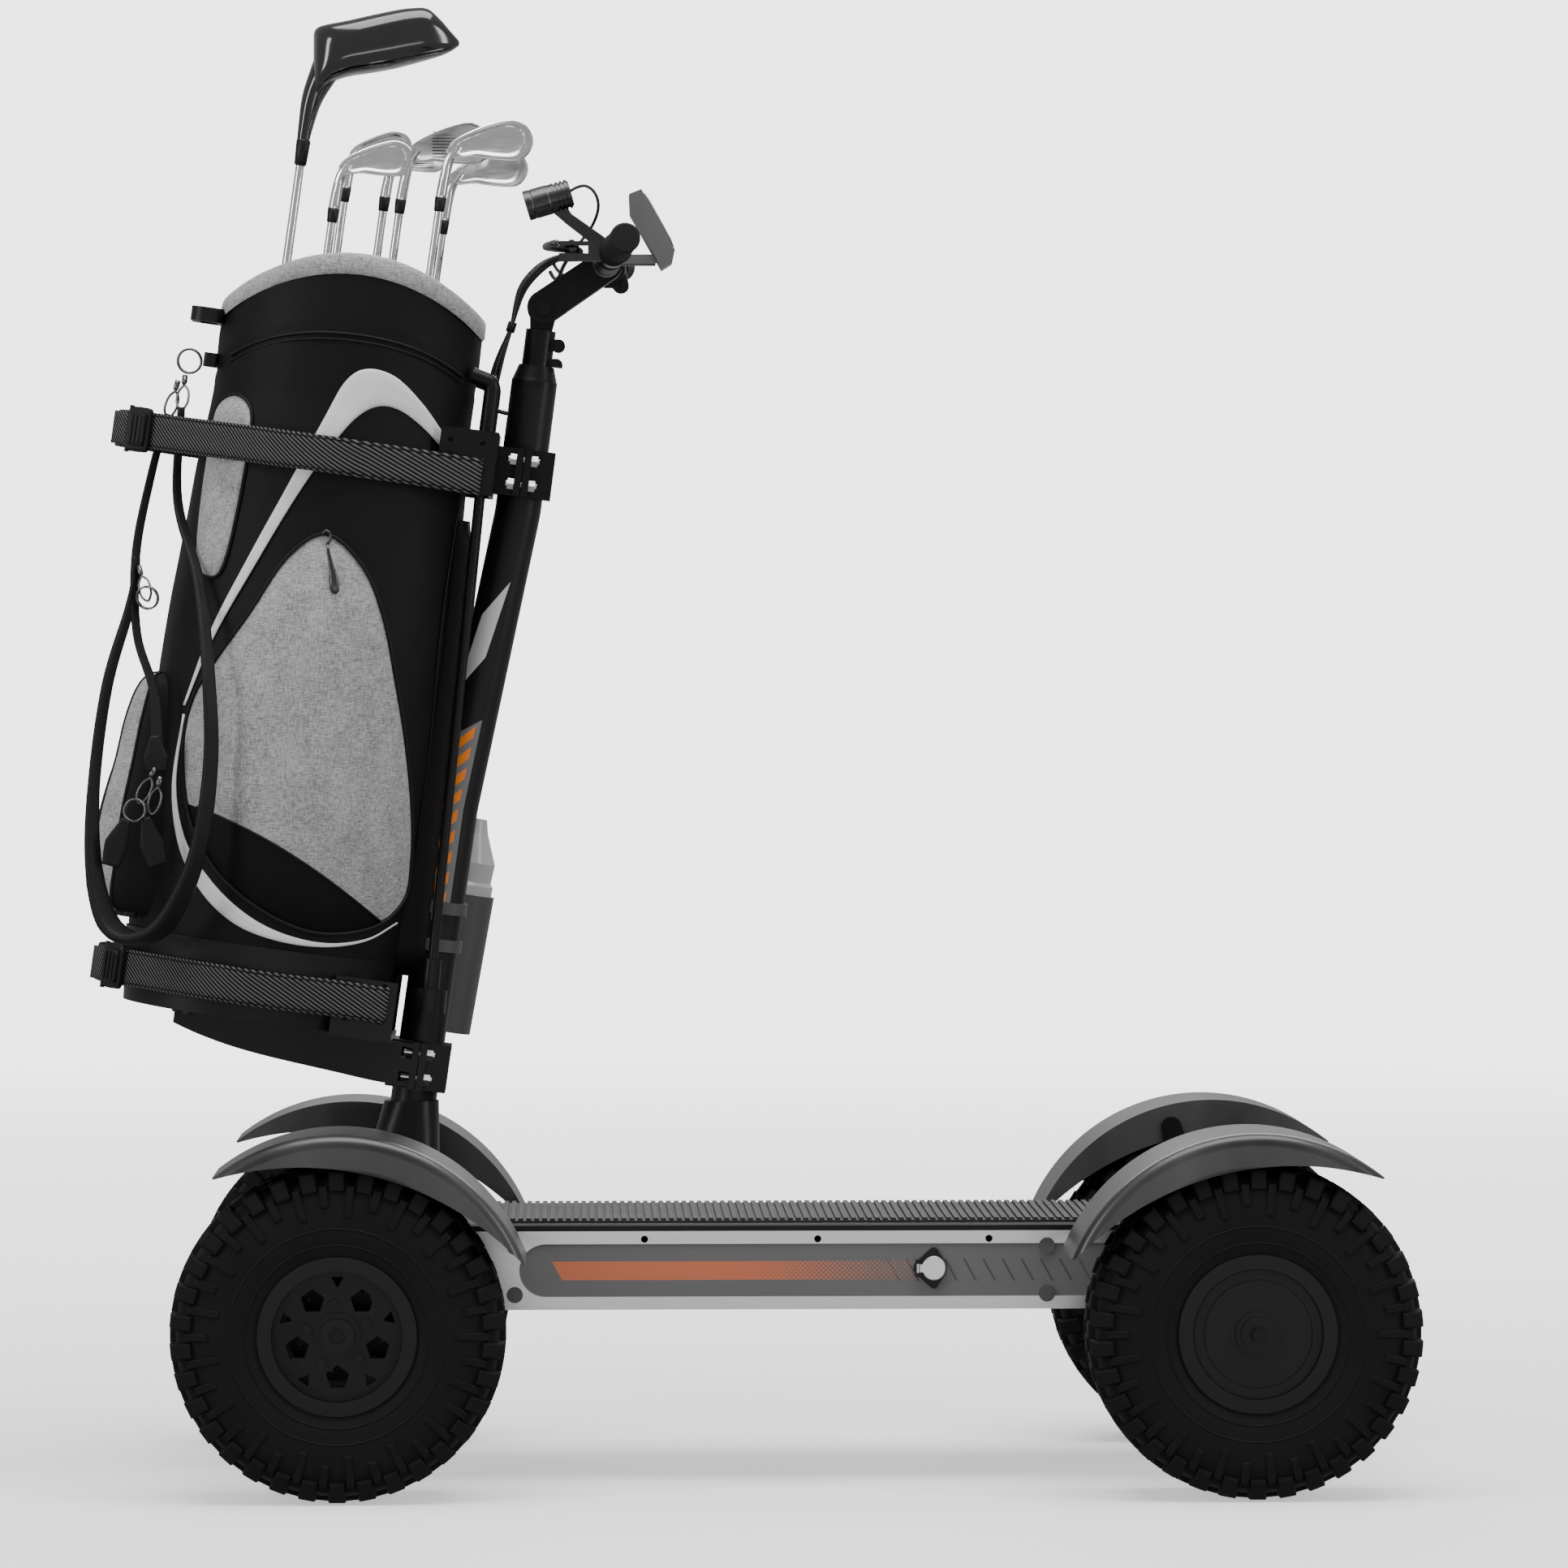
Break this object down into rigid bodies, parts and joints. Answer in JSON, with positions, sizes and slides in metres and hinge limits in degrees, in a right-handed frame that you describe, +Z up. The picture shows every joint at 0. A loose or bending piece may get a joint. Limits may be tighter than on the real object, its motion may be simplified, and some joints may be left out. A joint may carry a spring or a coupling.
{
  "type": "stand-on golf scooter with golf bag",
  "caption": "Four-wheel stand-on electric golf scooter with a ribbed deck, steering column, knobby tyres and a strapped golf bag of clubs in front.",
  "frame": {"origin": "centre of the footprint on the ground, at the lowest point of the tyres", "axes": "+X towards the rear, +Y to the rider's right, +Z up; the scooter drives towards -X"},
  "size_m": [1.49, 0.736, 1.6462],
  "materials": {
    "silver_rail": "brushed extrusion",
    "black_frame": "satin powder coat",
    "bolt_steel": "zinc plated",
    "deck_rubber": "ribbed",
    "tyre_rubber": "knobby tread",
    "wheel_black": "satin",
    "fender_gloss": "glossy dark grey",
    "battery_case": "plain",
    "controller_case": "die cast",
    "plastic_black": "moulded",
    "cable_rubber": "plain",
    "webbing": "twill webbing",
    "bag_black": "coated nylon",
    "bag_grey": "heathered weave",
    "bag_foot": "moulded",
    "driver_finish": "dark satin",
    "iron_chrome": "polished",
    "bottle_white": "smooth"
  },
  "bodies": {
    "chassis": {"side_rails": "silver_rail", "deck_floor": "black_frame", "deck_top_plate": "black_frame", "deck_mat": "deck_rubber", "deck_screws": "bolt_steel", "battery_pack": "battery_case", "motor_controller": "controller_case", "charge_port": "plastic_black", "front_axle_beam": "black_frame", "rear_axle_bracket": "black_frame", "rear_fender_left": "fender_gloss", "rear_fender_right": "fender_gloss", "steering_head": "black_frame", "steering_column": "black_frame", "headset": "black_frame", "upper_bag_bracket": "black_frame", "lower_bag_shelf": "black_frame", "clamp_caps": "black_frame", "clamp_bolts": "bolt_steel", "upper_strap": "webbing", "lower_strap": "webbing", "bag_body": "bag_black", "bag_rim": "bag_grey", "bag_base": "bag_foot", "bag_pockets": "bag_grey", "bag_handle": "plastic_black", "shoulder_strap": "webbing", "stand_legs": "black_frame", "bottle_holder": "bag_black", "lower_cable": "cable_rubber"},
    "bottle": {"water_bottle": "bottle_white", "bottle_cap": "plastic_black"},
    "clubs": {"driver_club": "driver_finish", "iron_clubs": "iron_chrome"},
    "steering": {"steerer_tube": "black_frame"},
    "stem": {"stem_arm": "black_frame", "handlebar": "black_frame", "grips": "deck_rubber", "lever_clamp": "black_frame", "throttle_housing": "plastic_black", "display_unit": "plastic_black", "headlight_arm": "black_frame", "upper_cable": "cable_rubber"},
    "brake_lever": {"brake_lever": "black_frame"},
    "throttle_paddle": {"throttle_paddle": "plastic_black"},
    "headlight": {"headlight": "plastic_black"},
    "charge_cover": {"charge_cover": "deck_rubber"},
    "track_rod": {"track_rod": "black_frame"},
    "knuckle_left": {"knuckle_left": "black_frame", "front_fender_left": "fender_gloss"},
    "front_wheel_left": {"front_rim_left": "wheel_black", "front_tyre_left": "tyre_rubber"},
    "rear_wheel_left": {"hub_motor_left": "wheel_black", "rear_tyre_left": "tyre_rubber"},
    "knuckle_right": {"knuckle_right": "black_frame", "front_fender_right": "fender_gloss"},
    "front_wheel_right": {"front_rim_right": "wheel_black", "front_tyre_right": "tyre_rubber"},
    "rear_wheel_right": {"hub_motor_right": "wheel_black", "rear_tyre_right": "tyre_rubber"}
  },
  "joints": [
    {"name": "steer", "type": "hinge", "parent": "chassis", "child": "steering", "pos_m": [-0.231, 0, 1.228], "axis": [0.1275, 0, 0.9918], "range_deg": [-30, 30]},
    {"name": "stem_tilt", "type": "hinge", "parent": "steering", "child": "stem", "pos_m": [-0.2192, 0, 1.32], "axis": [0, 1, 0], "range_deg": [-10, 15]},
    {"name": "brake_pull", "type": "hinge", "parent": "stem", "child": "brake_lever", "pos_m": [-0.1879, -0.165, 1.37675], "axis": [0, 0, 1], "range_deg": [0, 18], "stiffness_Nm_per_rad": 1.5, "springref_deg": -5.73},
    {"name": "throttle_push", "type": "hinge", "parent": "stem", "child": "throttle_paddle", "pos_m": [-0.14015, 0.184, 1.37406], "axis": [0.0921, 0.9934, 0.0688], "range_deg": [0, 30], "stiffness_Nm_per_rad": 0.3, "springref_deg": -8.59},
    {"name": "headlight_tilt", "type": "hinge", "parent": "stem", "child": "headlight", "pos_m": [-0.192, -0.074, 1.417], "axis": [0, 1, 0], "range_deg": [-15, 20]},
    {"name": "charge_cover_swing", "type": "hinge", "parent": "chassis", "child": "charge_cover", "pos_m": [0.1994, -0.1498, 0.239], "axis": [0, 0, -1], "range_deg": [0, 110]},
    {"name": "track_rod_shift", "type": "slide", "parent": "chassis", "child": "track_rod", "axis": [0, 1, 0], "range_m": [-0.0155, 0.0155]},
    {"name": "bottle_lift", "type": "slide", "parent": "chassis", "child": "bottle", "axis": [0.1754, 0, 0.9845], "range_m": [0, 0.25]},
    {"name": "clubs_lift", "type": "slide", "parent": "chassis", "child": "clubs", "axis": [0.1392, 0, 0.9903], "range_m": [0, 0.9]},
    {"name": "knuckle_turn_left", "type": "hinge", "parent": "chassis", "child": "knuckle_left", "pos_m": [-0.444, -0.19, 0.184], "axis": [0, 0, 1], "range_deg": [-15, 15]},
    {"name": "front_roll_left", "type": "hinge", "parent": "knuckle_left", "child": "front_wheel_left", "pos_m": [-0.444, -0.2875, 0.184], "axis": [0, 1, 0], "continuous": true},
    {"name": "rear_roll_left", "type": "hinge", "parent": "chassis", "child": "rear_wheel_left", "pos_m": [0.561, -0.2875, 0.184], "axis": [0, 1, 0], "continuous": true},
    {"name": "knuckle_turn_right", "type": "hinge", "parent": "chassis", "child": "knuckle_right", "pos_m": [-0.444, 0.19, 0.184], "axis": [0, 0, 1], "range_deg": [-15, 15]},
    {"name": "front_roll_right", "type": "hinge", "parent": "knuckle_right", "child": "front_wheel_right", "pos_m": [-0.444, 0.2875, 0.184], "axis": [0, 1, 0], "continuous": true},
    {"name": "rear_roll_right", "type": "hinge", "parent": "chassis", "child": "rear_wheel_right", "pos_m": [0.561, 0.2875, 0.184], "axis": [0, 1, 0], "continuous": true}
  ],
  "couplings": [
    {"joint": "track_rod_shift", "follows": "steer", "m_per_rad": 0.029},
    {"joint": "knuckle_turn_left", "follows": "steer", "ratio": 0.5},
    {"joint": "knuckle_turn_right", "follows": "steer", "ratio": 0.5}
  ]
}
